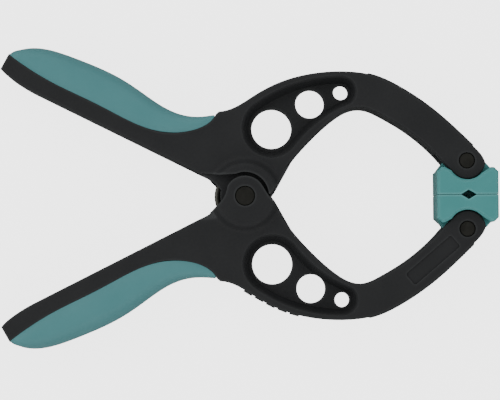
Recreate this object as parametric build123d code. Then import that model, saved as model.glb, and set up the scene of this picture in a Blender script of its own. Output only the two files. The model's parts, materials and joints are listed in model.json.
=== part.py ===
from build123d import *
import math
import os

# Spring clamp, jaws closed, lying flat. Everything is drawn about the pivot, with the clamp's
# middle plane at z = 0, and moved at the end so that it rests on z = 0, centred in plan.
# +X runs to the jaws, -X to the handles, +Z is the thickness. The two arms are one moulding:
# the upper arm (+Y) is drawn, and the lower arm (-Y) is the same moulding turned over about X.

# ---------------------------------------------------------------- driving dimensions, mm
ARM_HALF = 10.0            # half thickness of the arms
HUB_HALF = 13.2            # half thickness over the raised hub discs
HUB_FLAT_R = 11.2
HUB_FOOT_R = 16.4
BACK_TRIM = 0.8            # the disc on the outer ear's side is this much smaller in radius
GRIP_HALF = 11.7           # half thickness over the grips' crowns, before the curve swells
PAD_HALF = 12.5            # half thickness of the jaw pads
EDGE_ROUND = 0.7           # rounding along the edges of the arms
HANDLE_ANGLE = 26.57       # slope of each handle's inner edge, which points at the pivot

PIN_R = 4.0                # pivot pin
PIN_HALF = 13.0
RUNNING = 0.05             # radial clearance of a turning fit
PRESS = 0.02               # radial interference of a pressed fit
PAD_PIN_R = 3.2
PAD_PIN_HALF = 9.7
PAD_PIN = (88.4, 13.6)     # where the pad swivels in the upper arm

INNER_EAR_LOW = 5.6        # the ears, as distances from the middle plane
INNER_EAR_HIGH = 9.3
OUTER_EAR_LOW = 9.6
INNER_EAR_R = 9.9
OUTER_EAR_R = 8.0
BOSS_R = 7.8               # tube that carries the coil
BOSS_GAP = 0.2

WIRE_R = 1.2               # torsion spring
COIL_R = 10.3              # mean radius of the coil
COIL_X = -0.8              # the legs push the coil off centre, against the bosses
COIL_TURNS = 3
LEG_Z = 4.1
LEG_LENGTH = 46.0
COIL_POCKET_R = 12.3
GROOVE_WIDTH = 3.6         # grooves along each handle's inner side; one takes a spring leg
GROOVE_DEPTH = 11.3
GROOVE_END = 92.0

HOLES = [((10.7, 27.1), 8.0), ((26.1, 37.0), 5.75), ((38.5, 41.5), 2.95)]
WEB_HALF = 3.0             # web left between the pockets around the holes

CORE_HALF = 8.3            # half thickness of the hard core under the soft grip
SLOT_HALF = 4.6            # half width of the fork slot in each jaw tip
TONGUE_HALF = 4.3          # half thickness of the pad's tongue and of the web that closes its notch
TIP_R = 7.4
SLOT_R = 9.6
VALLEY_R = 7.7
LIP_INSIDE = 10.3          # inner face of the pad's lips, which flank the jaw tip
SWIVEL = 25.0              # furthest swing of a pad on its arm, degrees
FACE_Y = 0.1               # pad faces stop this far from the clamping plane

# ---------------------------------------------------------------- outline points, mm
HANDLE_OUTER = [(-93.9, 57.3), (-90, 59.5), (-85, 60.4), (-72, 57.6), (-56, 51.3), (-42, 42.9),
                (-32, 36), (-24, 32.9), (-17, 32.3), (-11.4, 32.7)]
JAW_OUTER = [(-10.2, 33.8), (-4.5, 35.2), (4, 40.2), (15, 45.7), (28, 48.9), (41, 49.5),
             (51, 48), (62, 43), (76, 33.3), (91, 19.4), (94.6, 15.3), (95.75, 12.8)]
THROAT = [(78.5, 13.4), (72, 20.1), (63, 27.1), (54, 32.4), (50, 34.3), (46, 35.1), (42, 34.5),
          (36, 31.2), (26, 22.3), (18, 13.2), (12.6, 4.2)]
BUTT_INNER = [(-84, 42), (-91, 46.1), (-97.2, 51.4)]
GRIP_EDGE = [(-93.9, 57.3), (-90, 54.3), (-84.5, 50.5), (-59.2, 37.2), (-44, 29.5),
             (-34, 25.9), (-27, 25.4), (-20, 26.7), (-14.6, 29), (-11.4, 32.7)]


def prism(face, low, high):
    """Straight body on a plan face between two heights."""
    return extrude(Pos(0, 0, low) * face, high - low, dir=(0, 0, 1))


def plate(points):
    return make_face(Polyline(*points, close=True))


def disc(radius, low, high, centre=(0, 0)):
    return Pos(centre[0], centre[1], (low + high) / 2) * Cylinder(radius, high - low)


def polar(centre, radius, degrees):
    angle = math.radians(degrees)
    return (centre[0] + radius * math.cos(angle), centre[1] + radius * math.sin(angle))


def turned_over(part):
    return part.rotate(Axis.X, 180)


# ---------------------------------------------------------------- arm
def arm_plan():
    """Outline of a whole arm, without its ears: handle, web, jaw and rounded tip."""
    inner_corner = (-14.6, 7.3)
    hub_side = [inner_corner, (-10.5, 4.6), (-8, 0.7), (10.4, 0.7), THROAT[-1]]
    tip_start = JAW_OUTER[-1]
    tip_end = polar(PAD_PIN, TIP_R, 223)
    edges = [
        Line(inner_corner, BUTT_INNER[0]),
        Spline(*BUTT_INNER, tangents=[(-2, 1), (-0.8, 1)]),
        Line(BUTT_INNER[-1], HANDLE_OUTER[0]),
        Spline(*HANDLE_OUTER),
        Line(HANDLE_OUTER[-1], JAW_OUTER[0]),
        Spline(*JAW_OUTER),
        ThreePointArc(tip_start, polar(PAD_PIN, TIP_R, 290), tip_end),
        Line(tip_end, THROAT[0]),
        Spline(*THROAT),
        Polyline(*hub_side[::-1]),
    ]
    return make_face(edges)


def grip_plan():
    """Part of the handle under the soft grip: from the grip's edge to beyond the outer side."""
    edges = [
        Spline(*GRIP_EDGE),
        Polyline(GRIP_EDGE[-1], (-11.4, 70), (-97, 70), GRIP_EDGE[0]),
    ]
    return make_face(edges)


def pocket_plan(inset):
    """Outline of the pocket around the holes, drawn in by the given distance."""
    big, small = HOLES[0][0], HOLES[2][0]
    big_r = 11.2 - inset
    small_r = 5.6 - inset
    outer_middle = polar((20.6, 44.4), inset, -72)
    throat_middle = polar((28.0, 29.0), inset, 133)
    edges = [
        ThreePointArc(polar(big, big_r, 122), polar(big, big_r, 221), polar(big, big_r, -40)),
        ThreePointArc(polar(big, big_r, -40), throat_middle, polar(small, small_r, -52)),
        ThreePointArc(polar(small, small_r, -52), polar(small, small_r, 18), polar(small, small_r, 88)),
        ThreePointArc(polar(small, small_r, 88), outer_middle, polar(big, big_r, 122)),
    ]
    return make_face(edges)


def pocket():
    """Tapered pocket cut from one face of the arm down to the web."""
    rim = loft([Pos(0, 0, ARM_HALF + 0.2) * pocket_plan(-0.9), Pos(0, 0, ARM_HALF - 0.9) * pocket_plan(0)])
    bowl = loft([Pos(0, 0, ARM_HALF - 0.9) * pocket_plan(0), Pos(0, 0, WEB_HALF) * pocket_plan(2.0)])
    return rim + bowl


def hub_disc(trim):
    """Raised disc around the pivot on one face, with a soft slope down to the arm."""
    foot = (HUB_FOOT_R - trim, ARM_HALF)
    flat = (HUB_FLAT_R - trim, HUB_HALF)
    profile = make_face([
        Polyline((0, 0), (HUB_FOOT_R - trim, 0), foot),
        Spline(foot, flat, tangents=[(-1, 0), (-1, 0)]),
        Polyline(flat, (0, HUB_HALF), (0, 0)),
    ])
    return revolve(Plane.XZ * profile, Axis.Z)


def outer_ear_plan():
    """Outer ear: round end, with a waisted left side, running into the arm."""
    left_tangent = polar((0, 0), OUTER_EAR_R, 209.8)
    right_tangent = polar((0, 0), OUTER_EAR_R, -31.8)
    shoulder = (-11.6, 4.2)
    edges = [
        ThreePointArc(left_tangent, (-8.45, 0.58), shoulder),
        Polyline(shoulder, (-14.5, 7.1), (-14.8, 8.6), (0, 12), THROAT[-1], (10.2, 1.3), right_tangent),
        ThreePointArc(right_tangent, (0, -OUTER_EAR_R), left_tangent),
    ]
    return make_face(edges)


def inner_ear_plan():
    """Inner ear: a full disc, joined to the handle on its left."""
    corner = plate([(-14.6, 7.3), (-11.6, 4.8), (-9.6, 2.5), (-8, 0), (0, 5), (0, 12), (-14.6, 12)])
    return Circle(INNER_EAR_R) + corner


def ear_room(radius):
    """Space for the other arm's ear over its whole swing."""
    flare = plate([(0, 8.9), (-4.4, 8.7), (-10, 8.4), (-14.1, 8.9), (-17, 9.2), (-21, 0), (0, 0)])
    return Circle(radius) + flare


def throat_lip():
    """Lip that widens the hub a little on its throat side, on one half of the thickness."""
    return plate([(9.9, 0.1), (10.9, 0.1), (13.1, 3.9), (15.6, 8.4), (18.2, 13.0), (14, 9), (9.9, 2)])


def throat_fall():
    """What is cut from the lip so that it falls steeply from the raised disc to the middle plane."""
    high = plate([(16.4, 10.1), (13.4, 5.8), (9.6, 0.4), (9.6, -1), (20, -1), (20, 10.1)])
    low = Pos(1.6, -1.1, 0) * high
    return loft([Pos(0, 0, BOSS_GAP) * low, Pos(0, 0, HUB_HALF + 1) * high])


def handle_grooves():
    """Two grooves along the handle's inner side, with a web between them."""
    groove = Pos(-GROOVE_END / 2, 0, 0) * Box(GROOVE_END, 2 * GROOVE_DEPTH, GROOVE_WIDTH)
    groove = fillet(groove.edges().filter_by(Axis.X), 1.0)
    groove = groove.rotate(Axis.Z, -HANDLE_ANGLE)
    return [Pos(0, 0, LEG_Z) * groove, Pos(0, 0, -LEG_Z) * groove]


def fork_slot():
    """Slot in the jaw tip for the pad's tongue, open towards the throat for its swing."""
    mouth = plate([(73, 14.9), (79.6, 18.3), (PAD_PIN[0], SLOT_R + PAD_PIN[1]), PAD_PIN, (83, 5), (73, 5)])
    return prism(Circle(SLOT_R).moved(Pos(PAD_PIN[0], PAD_PIN[1])) + mouth, -SLOT_HALF, SLOT_HALF)


def label_recess():
    """Blank shallow panel on one face of the jaw."""
    panel = RectangleRounded(23.8, 5.9, 1.0)
    panel = Pos(74.5, 26, 0) * Rot(0, 0, -40.4) * panel
    return prism(panel, -ARM_HALF - 1, -ARM_HALF + 0.45)


def edge_plate():
    """Slightly raised plate along the outer edge of the jaw."""
    jaw = arm_plan()
    stretch = plate([(49.4, 60), (49.4, 44), (88, 16), (91, 19), (91, 40)])
    raised = ((Pos(0.28, 0.34, 0) * jaw) & stretch) - Pos(-1, -1.2, 0) * jaw
    edge = ARM_HALF - EDGE_ROUND - 0.4
    return prism(raised, -edge, edge)


def edge_ribs():
    """Row of low plates across the outer edge beside the hub, on one half of the thickness."""
    places = [(1.2, 38.6, 31), (5.6, 41.1, 30), (10.1, 43.6, 27), (14.7, 45.6, 22), (19.4, 47.2, 16)]
    rib = Box(3.7, 2.0, 6.4)
    return [Pos(x, y - 0.6, -5.2) * Rot(0, 0, slope) * rib for x, y, slope in places]


def moulding_blank():
    """Arm and handle core before the hub is worked: rounded edges, pockets and the grip's seat."""
    plan = arm_plan()
    black = prism(plan - grip_plan(), -ARM_HALF, ARM_HALF)
    rims = black.edges().filter_by(lambda e: abs(abs(e.center().Z) - ARM_HALF) < 0.01)
    black = fillet(rims.filter_by(is_long_side), EDGE_ROUND)
    core = prism(plan & (Pos(0.9, -2.7, 0) * plan), -CORE_HALF, CORE_HALF)
    return black + core


def is_long_side(edge):
    """True for the rim edges that are rounded: all but the grip's seam and the hub's corners."""
    middle = edge @ 0.5
    seam = -70 < middle.X < -30 and middle.Y > 31
    return edge.length > 5.5 and not seam and abs(middle.Y - 0.7) > 0.1


def arm(bore_r):
    """Upper arm: outer ear at the back (-z), inner ear with its coil boss at the front (+z)."""
    plan = arm_plan()
    body = moulding_blank()
    body += edge_plate()
    for rib in edge_ribs():
        body += rib
    body += (hub_disc(0) + turned_over(hub_disc(BACK_TRIM))) & prism(plan, -HUB_HALF, HUB_HALF)
    body += prism(throat_lip(), BOSS_GAP, ARM_HALF)
    body -= prism(ear_room(9.5), INNER_EAR_HIGH, HUB_HALF + 1)
    body -= prism(ear_room(INNER_EAR_R + 0.4), -OUTER_EAR_LOW, -INNER_EAR_LOW + 0.3)
    for x in (-2.8, -0.8):
        body -= disc(COIL_POCKET_R, -INNER_EAR_LOW, INNER_EAR_LOW, (x, 0.4))
    for groove in handle_grooves():
        body -= groove
    body += prism(inner_ear_plan(), INNER_EAR_LOW, INNER_EAR_HIGH)
    body += prism(outer_ear_plan(), -HUB_HALF, -OUTER_EAR_LOW) & turned_over(hub_disc(BACK_TRIM))
    body -= throat_fall()
    body += disc(BOSS_R, BOSS_GAP, INNER_EAR_LOW + 0.5)
    body -= pocket() + turned_over_z(pocket())
    for centre, radius in HOLES:
        body -= disc(radius, -HUB_HALF, HUB_HALF, centre)
    body -= disc(bore_r, -HUB_HALF - 1, HUB_HALF + 1)
    body -= fork_slot()
    body -= disc(PAD_PIN_R - PRESS, -ARM_HALF - 1, ARM_HALF + 1, PAD_PIN)
    for side in (-1, 1):
        body -= Pos(PAD_PIN[0], PAD_PIN[1], side * ARM_HALF) * countersink(side)
    body -= label_recess()
    return body


def turned_over_z(part):
    """The same shape on the other face."""
    return mirror(part, Plane.XY)


def countersink(side):
    cone = Cone(PAD_PIN_R - 0.1, PAD_PIN_R + 0.5, 0.6)
    return cone if side > 0 else turned_over(cone)


# ---------------------------------------------------------------- grip
def grip_section(seam_point, outer_point):
    """Cross-section of the grip from its seam to the outer side: crowned, and round outside."""
    offset = outer_point - seam_point
    width = offset.length
    plane = Plane(origin=seam_point, x_dir=offset, z_dir=offset.cross(Vector(0, 0, 1)))
    seam_z = ARM_HALF + 0.2
    rise = (GRIP_HALF - seam_z) * min(1, width / 11)
    top_z = seam_z + rise
    shoulder = (0.22 * width, seam_z + 0.85 * rise)
    top = (0.5 * width, top_z)
    flank = (0.75 * width, 0.93 * top_z)
    outside = (0.92 * width, 0.66 * top_z)
    front = [(0, seam_z), shoulder, top, flank, outside]
    back = [(x, -z) for x, z in reversed(front)]
    skin = Spline(*front, (width, 0), *back)
    seam_side = Line((0, -seam_z), (0, seam_z))
    return plane * make_face([skin, seam_side])


def grip():
    """Soft grip skin: a crowned body between its seam and the outer side, hollowed for the core."""
    seam = Spline(*GRIP_EDGE)
    outer = Spline(*HANDLE_OUTER)
    shares = [0.005, 0.05, 0.16, 0.33, 0.5, 0.67, 0.84, 0.94, 0.99]
    crown = loft([grip_section(seam @ share, outer @ share) for share in shares])
    return crown - moulding_blank()


# ---------------------------------------------------------------- pad
def pad_plan():
    """Side view of a pad's outer lips, with the valley around the pin and half the V groove."""
    valley_left = polar(PAD_PIN, VALLEY_R - 0.1, 212)
    valley_right = polar(PAD_PIN, VALLEY_R - 0.1, -42)
    edges = [
        Polyline((85.8, FACE_Y), (76.3, FACE_Y), (76.3, 9.2), (78.2, 11.0), (79.3, 11.0), valley_left),
        ThreePointArc(valley_left, polar(PAD_PIN, VALLEY_R - 0.1, 270), valley_right),
        Polyline(valley_right, (97.8, 10.9), (99.0, 10.8), (100.7, 9.1), (100.7, FACE_Y)),
        Polyline((100.7, FACE_Y), (91.8, FACE_Y), (88.8, 1.9), (85.8, FACE_Y)),
    ]
    return make_face(edges)


def swing_room():
    """Space the jaw tip sweeps between the lips as the pad swings."""
    lowest = 223 + SWIVEL
    touch = polar(PAD_PIN, VALLEY_R, lowest)
    far = polar(touch, 18, lowest - 90)
    wedge = plate([touch, far, (far[0], 30), (PAD_PIN[0], 30), PAD_PIN])
    return Circle(VALLEY_R).moved(Pos(PAD_PIN[0], PAD_PIN[1])) + wedge


def tongue_plan():
    """Middle web of the pad with the eye that turns on the pad pin."""
    web = plate([(76.5, 4), (76.5, 9.6), (79.7, 13.8), (96.4, 12.9), (98.4, 10.7), (98.4, 4)])
    eye = Pos(PAD_PIN[0], PAD_PIN[1]) * Circle(5.8)
    return web + eye


def pad():
    body = prism(pad_plan(), -PAD_HALF, PAD_HALF)
    rims = body.edges().filter_by(lambda e: abs(abs(e.center().Z) - PAD_HALF) < 0.01)
    outside = rims.filter_by(lambda e: e.center().Y > FACE_Y + 1.5 or e.center().Y < FACE_Y + 0.01)
    body = chamfer(outside.filter_by(lambda e: e.center().Y > 3), 0.8)
    body -= prism(swing_room(), -LIP_INSIDE, LIP_INSIDE)
    body += prism(tongue_plan(), -TONGUE_HALF, TONGUE_HALF)
    body += prism(plate([(85, FACE_Y), (92.6, FACE_Y), (92.6, 5), (85, 5)]), -TONGUE_HALF, TONGUE_HALF)
    body -= disc(PAD_PIN_R + RUNNING, -PAD_HALF, PAD_HALF, PAD_PIN)
    return body


# ---------------------------------------------------------------- pins
def pin(radius, half_length):
    body = Cylinder(radius, 2 * half_length)
    return chamfer(body.edges().filter_by(GeomType.CIRCLE), 0.45)


# ---------------------------------------------------------------- spring
def spring():
    """Torsion spring: one leg along each handle, closed coil between them."""
    slope = math.radians(HANDLE_ANGLE)
    start = math.pi / 2 - slope
    sweep_angle = 2 * math.pi * COIL_TURNS + 2 * start
    steps = 12 * COIL_TURNS + 6
    centre = (COIL_X, 0)
    coil = []
    for i in range(steps + 1):
        share = i / steps
        angle = start - sweep_angle * share
        coil.append((centre[0] + COIL_R * math.cos(angle), COIL_R * math.sin(angle), LEG_Z * (1 - 2 * share)))
    along = (-math.cos(slope), math.sin(slope))
    upper_end = (coil[0][0] + LEG_LENGTH * along[0], coil[0][1] + LEG_LENGTH * along[1], LEG_Z)
    lower_end = (coil[-1][0] + LEG_LENGTH * along[0], coil[-1][1] - LEG_LENGTH * along[1], -LEG_Z)
    into_coil = (-along[0], -along[1], 0)
    out_of_coil = (along[0], -along[1], 0)
    path = Wire([
        Line(upper_end, coil[0]),
        Spline(*coil, tangents=[into_coil, out_of_coil], tangent_scalars=[1, 1]),
        Line(coil[-1], lower_end),
    ])
    wire_section = Plane(origin=upper_end, z_dir=into_coil) * Circle(WIRE_R)
    return sweep(wire_section, path=path)


# ---------------------------------------------------------------- assembly
def build_parts():
    return {
        "lower_arm": turned_over(arm(PIN_R - PRESS)),
        "upper_arm": arm(PIN_R + RUNNING),
        "lower_grip": turned_over(grip()),
        "upper_grip": grip(),
        "pivot_pin": pin(PIN_R, PIN_HALF),
        "torsion_spring": spring(),
        "lower_pad": turned_over(pad()),
        "upper_pad": pad(),
        "lower_pad_pin": Pos(PAD_PIN[0], -PAD_PIN[1], 0) * pin(PAD_PIN_R, PAD_PIN_HALF),
        "upper_pad_pin": Pos(PAD_PIN[0], PAD_PIN[1], 0) * pin(PAD_PIN_R, PAD_PIN_HALF),
    }


def main():
    os.makedirs("parts", exist_ok=True)
    parts = build_parts()
    boxes = [part.bounding_box() for part in parts.values()]
    low_x = min(box.min.X for box in boxes)
    high_x = max(box.max.X for box in boxes)
    shift = Pos(-(low_x + high_x) / 2, 0, HUB_HALF)
    for name, part in parts.items():
        export_step(shift * part, f"parts/{name}.step")
        print(name, round(part.volume, 1), len(part.solids()))
    print("pivot at x =", round(-(low_x + high_x) / 2, 4))


main()
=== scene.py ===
import json
import math

import bpy
from mathutils import Matrix, Vector


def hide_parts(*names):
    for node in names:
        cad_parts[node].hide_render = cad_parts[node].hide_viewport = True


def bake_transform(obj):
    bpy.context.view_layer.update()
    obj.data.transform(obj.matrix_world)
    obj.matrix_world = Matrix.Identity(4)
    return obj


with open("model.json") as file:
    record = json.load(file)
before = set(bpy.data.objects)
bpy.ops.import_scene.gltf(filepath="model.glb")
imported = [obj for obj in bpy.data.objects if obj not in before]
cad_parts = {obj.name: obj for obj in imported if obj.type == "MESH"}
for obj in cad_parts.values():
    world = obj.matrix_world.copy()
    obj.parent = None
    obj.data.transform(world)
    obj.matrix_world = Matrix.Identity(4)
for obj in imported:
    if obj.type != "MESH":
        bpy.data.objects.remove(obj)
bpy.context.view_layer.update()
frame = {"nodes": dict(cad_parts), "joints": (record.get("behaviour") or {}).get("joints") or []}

# ---------------------------------------------------------------- sizes, in metres
PIVOT = next(Vector(joint["pos_m"]) for joint in frame["joints"] if joint["name"] == "arm_pivot")

WIRE_R = 0.0012            # torsion spring
WIRE_SIDES = 20
COIL_R = 0.0103            # mean radius of the coil
COIL_X = -0.0008           # the legs push the coil off centre
COIL_TURNS = 3
COIL_WAVE = 0.004          # unevenness of the turns, as a share of the coil's length
STEPS_PER_TURN = 52
LEG_Z = 0.0041
LEG_LENGTH = 0.046
LEG_STEPS = 12
HANDLE_SLOPE = math.radians(26.57)

HARD_CORNER = 32           # faces that meet at more degrees than this show a sharp edge
GRIP_CORNER = 40
WIRE_CORNER = 50

# ---------------------------------------------------------------- surfaces
NYLON_TONES = ((0.0130, 0.0138, 0.0148), (0.0160, 0.0168, 0.0178))     # darkest and palest
# paler colour painted along the nylon's outer edges as a highlight
NYLON_EDGE_HIGHLIGHT = (0.034, 0.036, 0.037)
GRIP_TONES = ((0.070, 0.228, 0.240), (0.078, 0.242, 0.254))
PAD_TONES = ((0.058, 0.262, 0.258), (0.066, 0.278, 0.274))
# paler colour painted along the pads' outer edges as a highlight
PAD_EDGE_HIGHLIGHT = (0.12, 0.36, 0.355)
PIN_TONE = (0.017, 0.017, 0.0145)
SPRING_TONE = (0.05, 0.05, 0.043)
SCALE_CONTRAST = 1.5       # how much paler the steel's scale is than its dark patches
FLOOR_TONES = ((0.49, 0.49, 0.49), (0.51, 0.51, 0.51))

EDGE_SAMPLES = 6
EDGE_HIGHLIGHT_REACH = 0.0011         # how far the painted edge highlight reaches in from an edge
MOULD_LINE_FOOT = 0.0001   # half width of the parting line at its foot and at its rim
MOULD_LINE_RIM = 0.0003
MOULD_LINE_DEPTH = 0.00012

# ---------------------------------------------------------------- studio
FLOOR_HALF = 2.5
FLOOR_GLOW = 3.2           # brightness of the floor's own light
SOFTBOX_SIZE = 1.3
SOFTBOXES = [              # name, place and power in watts
    ("softbox_left", (-1.1, 0.2, 0.7), 7),
    ("softbox_right", (1.1, 0.1, 0.7), 3),
    ("softbox_back", (-0.1, 1.1, 0.8), 4.5),
    ("softbox_front", (0.1, -1.1, 0.7), 5.5),
]
SKY_HORIZON = 0.25         # the sky is evenly bright up to this height, as a share of straight up
SKY_LOW = 0.66             # its brightness there and overhead
SKY_TOP = 0.48
CAMERA_TARGET = Vector((0.0002, -0.0016, 0.0232))
CAMERA_PLACE = Vector((0.0002, -0.0361, 0.973))
CAMERA_ROLL = math.radians(-0.38)
CAMERA_NEAR = 0.05
VIEW_WIDTH = 0.1988        # width of the view at the target
SENSOR_WIDTH = 36          # millimetres


# ---------------------------------------------------------------- material helpers
def new_material(name):
    material = bpy.data.materials.new(name)
    material.use_nodes = True
    nodes = material.node_tree.nodes
    nodes.clear()
    output = nodes.new("ShaderNodeOutputMaterial")
    shader = nodes.new("ShaderNodeBsdfPrincipled")
    material.node_tree.links.new(shader.outputs["BSDF"], output.inputs["Surface"])
    return material, shader


def add(material, kind):
    return material.node_tree.nodes.new(kind)


def join(material, source, target):
    material.node_tree.links.new(source, target)


def noise(material, scale, detail=3.0, roughness=0.55):
    """Noise over the piece's own coordinates; scale is in waves per metre."""
    place = add(material, "ShaderNodeTexCoord")
    texture = add(material, "ShaderNodeTexNoise")
    texture.inputs["Scale"].default_value = scale
    texture.inputs["Detail"].default_value = detail
    texture.inputs["Roughness"].default_value = roughness
    join(material, place.outputs["Object"], texture.inputs["Vector"])
    return texture.outputs["Fac"]


def spread(material, value, low, high, start=0.3, end=0.7):
    """Maps values from start to end, such as those of a noise, to a range of numbers."""
    ramp = add(material, "ShaderNodeMapRange")
    ramp.inputs["From Min"].default_value = start
    ramp.inputs["From Max"].default_value = end
    ramp.inputs["To Min"].default_value = low
    ramp.inputs["To Max"].default_value = high
    join(material, value, ramp.inputs["Value"])
    return ramp.outputs["Result"]


def two_tones(material, value, tones):
    """Colour that goes from the first tone to the second as the value rises."""
    dark, light = tones
    ramp = add(material, "ShaderNodeValToRGB")
    ramp.color_ramp.elements[0].position = 0.35
    ramp.color_ramp.elements[0].color = (*dark, 1)
    ramp.color_ramp.elements[1].position = 0.65
    ramp.color_ramp.elements[1].color = (*light, 1)
    join(material, value, ramp.inputs["Fac"])
    return ramp.outputs["Color"]


def soft_edges(material, radius):
    """Normal that rounds every sharp edge a little, as moulds and tumbling do."""
    bevel = add(material, "ShaderNodeBevel")
    bevel.samples = EDGE_SAMPLES
    bevel.inputs["Radius"].default_value = radius
    return bevel.outputs["Normal"]


def bump(material, height, distance, strength, normal):
    """Normal that adds a relief of the given height to another normal."""
    node = add(material, "ShaderNodeBump")
    node.inputs["Strength"].default_value = strength
    node.inputs["Distance"].default_value = distance
    join(material, height, node.inputs["Height"])
    join(material, normal, node.inputs["Normal"])
    return node.outputs["Normal"]


def parting_line(material):
    """Height that drops in a hair line around the clamp's middle plane, where the mould halves met."""
    place = add(material, "ShaderNodeTexCoord")
    split = add(material, "ShaderNodeSeparateXYZ")
    offset = add(material, "ShaderNodeMath")
    offset.operation = "SUBTRACT"
    offset.inputs[1].default_value = PIVOT.z
    distance = add(material, "ShaderNodeMath")
    distance.operation = "ABSOLUTE"
    join(material, place.outputs["Object"], split.inputs["Vector"])
    join(material, split.outputs["Z"], offset.inputs[0])
    join(material, offset.outputs["Value"], distance.inputs[0])
    return spread(material, distance.outputs["Value"], 0.0, 1.0, MOULD_LINE_FOOT, MOULD_LINE_RIM)


def painted_edge_highlight(material, colour, highlight_colour):
    """Mixes a paler colour into a surface along its outer edges: a painted highlight where rounded edges
    would catch the light.
    """
    inside = add(material, "ShaderNodeAmbientOcclusion")
    inside.inside = True
    inside.only_local = True
    inside.samples = EDGE_SAMPLES
    inside.inputs["Distance"].default_value = EDGE_HIGHLIGHT_REACH
    mix = add(material, "ShaderNodeMix")
    mix.data_type = "RGBA"
    # strength of the painted edge highlight: strongest right at a convex edge
    highlight_share = spread(material, inside.outputs["AO"], low=1.0, high=0.0, start=0.5, end=0.95)
    join(material, highlight_share, mix.inputs["Factor"])
    join(material, colour, mix.inputs["A"])
    mix.inputs["B"].default_value = (*highlight_colour, 1)
    return mix.outputs["Result"]


def uneven_gloss(material, shader, scale, detail, low, high):
    """Lets a surface's roughness wander between two values."""
    join(material, spread(material, noise(material, scale, detail), low, high), shader.inputs["Roughness"])


def grain(material, shader, scale, depth, strength, normal):
    """Covers a surface in fine grain, on top of the relief that it already has."""
    height = noise(material, scale, detail=4.0, roughness=0.6)
    join(material, bump(material, height, depth, strength, normal), shader.inputs["Normal"])


# ---------------------------------------------------------------- materials
def nylon():
    """Black glass-filled nylon: fine eroded grain, faint flow clouds, painted highlights along its outer
    edges and a parting line.
    """
    material, shader = new_material("arm_nylon")
    clouds = two_tones(material, noise(material, scale=60), NYLON_TONES)
    join(material, painted_edge_highlight(material, clouds, NYLON_EDGE_HIGHLIGHT), shader.inputs["Base Color"])
    uneven_gloss(material, shader, scale=900, detail=2.0, low=0.58, high=0.72)
    shader.inputs["Specular IOR Level"].default_value = 0.26
    edges = soft_edges(material, 0.00035)
    relief = bump(material, parting_line(material), MOULD_LINE_DEPTH, 0.6, edges)
    grain(material, shader, scale=3200, depth=0.00003, strength=0.3, normal=relief)
    return material


def grip_rubber():
    """Teal soft-touch skin with a fine dull grain."""
    material, shader = new_material("grip_rubber")
    clouds = two_tones(material, noise(material, scale=45), GRIP_TONES)
    join(material, clouds, shader.inputs["Base Color"])
    uneven_gloss(material, shader, scale=700, detail=2.0, low=0.52, high=0.64)
    shader.inputs["Specular IOR Level"].default_value = 0.3
    edges = soft_edges(material, 0.0003)
    grain(material, shader, scale=4200, depth=0.00003, strength=0.3, normal=edges)
    return material


def pad_plastic():
    """Teal hard plastic, smoother than the grips, with painted highlights along its outer edges."""
    material, shader = new_material("pad_plastic")
    clouds = two_tones(material, noise(material, scale=80), PAD_TONES)
    join(material, painted_edge_highlight(material, clouds, PAD_EDGE_HIGHLIGHT), shader.inputs["Base Color"])
    uneven_gloss(material, shader, scale=600, detail=2.0, low=0.36, high=0.46)
    shader.inputs["Specular IOR Level"].default_value = 0.32
    edges = soft_edges(material, 0.0003)
    grain(material, shader, scale=2600, depth=0.00002, strength=0.25, normal=edges)
    return material


def black_steel(name, tone, low, high):
    """Oil-blackened steel with faint scale; low and high are the limits of its roughness."""
    material, shader = new_material(name)
    light = tuple(SCALE_CONTRAST * part for part in tone)
    scale_marks = two_tones(material, noise(material, scale=240, detail=4.0), (tone, light))
    join(material, scale_marks, shader.inputs["Base Color"])
    uneven_gloss(material, shader, scale=1500, detail=3.0, low=low, high=high)
    shader.inputs["Metallic"].default_value = 0.7
    shader.inputs["Specular IOR Level"].default_value = 0.3
    edges = soft_edges(material, 0.0002)
    grain(material, shader, scale=2200, depth=0.00003, strength=0.3, normal=edges)
    return material


def light_table():
    """White studio floor that glows where it is seen directly, so that it stays plain and pale."""
    material, shader = new_material("light_table")
    clouds = two_tones(material, noise(material, scale=3, detail=2.0), FLOOR_TONES)
    join(material, clouds, shader.inputs["Base Color"])
    shader.inputs["Roughness"].default_value = 0.8
    shader.inputs["Specular IOR Level"].default_value = 0.1
    shader.inputs["Emission Color"].default_value = (1, 1, 1, 1)
    path = add(material, "ShaderNodeLightPath")
    glow = spread(material, path.outputs["Is Camera Ray"], low=0.0, high=FLOOR_GLOW, start=0.0, end=1.0)
    join(material, glow, shader.inputs["Emission Strength"])
    return material


# ---------------------------------------------------------------- geometry helpers
def mesh_object(name, points, faces, material):
    mesh = bpy.data.meshes.new(name)
    mesh.from_pydata(points, [], faces)
    mesh.update()
    piece = bpy.data.objects.new(name, mesh)
    bpy.context.scene.collection.objects.link(piece)
    mesh.materials.append(material)
    return piece


def dress(piece, material, corner):
    """Gives a piece its material, and smooth shading that breaks at sharp corners."""
    piece.data.materials.clear()
    piece.data.materials.append(material)
    piece.data.shade_smooth()
    piece.data.set_sharp_from_angle(angle=math.radians(corner))


def tube(name, path, radius, sides, material):
    """Round wire along a path of points, with flat ends."""
    points, faces = [], []
    count = len(path)
    normal = None
    for i, at in enumerate(path):
        before = path[max(i - 1, 0)]
        after = path[min(i + 1, count - 1)]
        tangent = (after - before).normalized()
        if normal is None:
            normal = tangent.cross(Vector((0, 0, 1))).normalized()
        normal = (normal - tangent * normal.dot(tangent)).normalized()
        side = tangent.cross(normal)
        for k in range(sides):
            angle = 2 * math.pi * k / sides
            points.append(at + radius * (math.cos(angle) * normal + math.sin(angle) * side))
    for i in range(count - 1):
        for k in range(sides):
            a = i * sides + k
            b = i * sides + (k + 1) % sides
            faces.append((a, b, b + sides, a + sides))
    faces.append(tuple(range(sides))[::-1])
    last = (count - 1) * sides
    faces.append(tuple(range(last, last + sides)))
    return mesh_object(name, points, faces, material)


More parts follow.
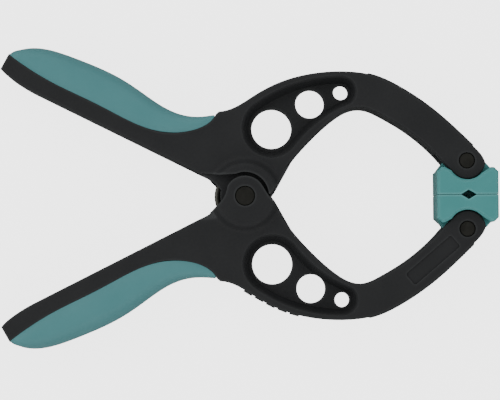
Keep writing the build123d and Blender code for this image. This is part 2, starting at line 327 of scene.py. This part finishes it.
# ---------------------------------------------------------------- torsion spring
def spring_path():
    """Centreline of the torsion spring: upper leg, three close turns and a part turn, lower leg."""
    start = math.pi / 2 - HANDLE_SLOPE
    sweep = 2 * math.pi * COIL_TURNS + 2 * start
    centre = PIVOT + Vector((COIL_X, 0, 0))
    steps = round(STEPS_PER_TURN * sweep / (2 * math.pi))
    coil = []
    for i in range(steps + 1):
        share = i / steps
        angle = start - sweep * share
        fallen = share - COIL_WAVE * math.sin(4 * math.pi * share)
        height = LEG_Z * (1 - 2 * fallen)
        coil.append(centre + Vector((COIL_R * math.cos(angle), COIL_R * math.sin(angle), height)))
    upper_leg = Vector((-math.cos(HANDLE_SLOPE), math.sin(HANDLE_SLOPE), 0)) * LEG_LENGTH
    lower_leg = Vector((upper_leg.x, -upper_leg.y, 0))
    upper = [coil[0] + upper_leg * k / LEG_STEPS for k in range(LEG_STEPS, 0, -1)]
    lower = [coil[-1] + lower_leg * k / LEG_STEPS for k in range(1, LEG_STEPS + 1)]
    return upper + coil + lower


def build_spring():
    """Spring wire with its two legs laid along the two handles, shown in place of the CAD spring, which is
    hidden.
    """
    material = black_steel("spring_steel", SPRING_TONE, 0.3, 0.42)
    spring = tube("spring_wire", spring_path(), WIRE_R, WIRE_SIDES, material)
    dress(spring, material, WIRE_CORNER)
    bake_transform(spring)
    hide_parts("torsion_spring")


# ---------------------------------------------------------------- CAD pieces
def dress_cad_pieces():
    dressed = [
        (("lower_arm", "upper_arm"), nylon(), HARD_CORNER),
        (("lower_grip", "upper_grip"), grip_rubber(), GRIP_CORNER),
        (("lower_pad", "upper_pad"), pad_plastic(), HARD_CORNER),
        (("pivot_pin", "lower_pad_pin", "upper_pad_pin"),
         black_steel("pin_steel", PIN_TONE, 0.42, 0.55), HARD_CORNER),
    ]
    for names, material, corner in dressed:
        for name in names:
            dress(frame["nodes"][name], material, corner)


# ---------------------------------------------------------------- stage
def build_floor():
    corners = [(x * FLOOR_HALF, y * FLOOR_HALF, 0) for x, y in ((-1, -1), (1, -1), (1, 1), (-1, 1))]
    floor = mesh_object("floor", corners, [(0, 1, 2, 3)], light_table())


def softbox(name, place, power):
    """Square area light that faces the clamp."""
    light = bpy.data.lights.new(name, "AREA")
    light.shape = "SQUARE"
    light.size = SOFTBOX_SIZE
    light.energy = power
    holder = bpy.data.objects.new(name, light)
    bpy.context.scene.collection.objects.link(holder)
    holder.location = place
    holder.rotation_euler = (-Vector(place)).to_track_quat("-Z", "Y").to_euler()


def build_light():
    """Low softboxes on four sides under a studio sky that is pale at the sides and dim overhead."""
    for name, place, power in SOFTBOXES:
        softbox(name, place, power)
    world = bpy.data.worlds.new("studio")
    bpy.context.scene.world = world
    world.use_nodes = True
    nodes, links = world.node_tree.nodes, world.node_tree.links
    background = nodes["Background"]
    background.inputs["Color"].default_value = (1, 1, 1, 1)
    place = nodes.new("ShaderNodeTexCoord")
    split = nodes.new("ShaderNodeSeparateXYZ")
    fall = nodes.new("ShaderNodeMapRange")
    fall.inputs["From Min"].default_value = SKY_HORIZON
    fall.inputs["From Max"].default_value = 1.0
    fall.inputs["To Min"].default_value = SKY_LOW
    fall.inputs["To Max"].default_value = SKY_TOP
    links.new(place.outputs["Generated"], split.inputs["Vector"])
    links.new(split.outputs["Z"], fall.inputs["Value"])
    links.new(fall.outputs["Result"], background.inputs["Strength"])


def build_camera():
    """Looks almost straight down from about a metre away, from slightly below the clamp's centre line."""
    forward = (CAMERA_TARGET - CAMERA_PLACE).normalized()
    up = Vector((-math.sin(CAMERA_ROLL), math.cos(CAMERA_ROLL), 0))
    right = forward.cross(up).normalized()
    up = right.cross(forward)
    camera = bpy.data.cameras.new("camera")
    camera.sensor_width = SENSOR_WIDTH
    camera.lens = SENSOR_WIDTH * (CAMERA_TARGET - CAMERA_PLACE).length / VIEW_WIDTH
    camera.clip_start = CAMERA_NEAR
    holder = bpy.data.objects.new("camera", camera)
    bpy.context.scene.collection.objects.link(holder)
    holder.matrix_world = Matrix((
        (right.x, up.x, -forward.x, CAMERA_PLACE.x),
        (right.y, up.y, -forward.y, CAMERA_PLACE.y),
        (right.z, up.z, -forward.z, CAMERA_PLACE.z),
        (0, 0, 0, 1),
    ))
    bpy.context.scene.camera = holder


# ---------------------------------------------------------------- build
dress_cad_pieces()
build_spring()
build_floor()
build_light()
build_camera()
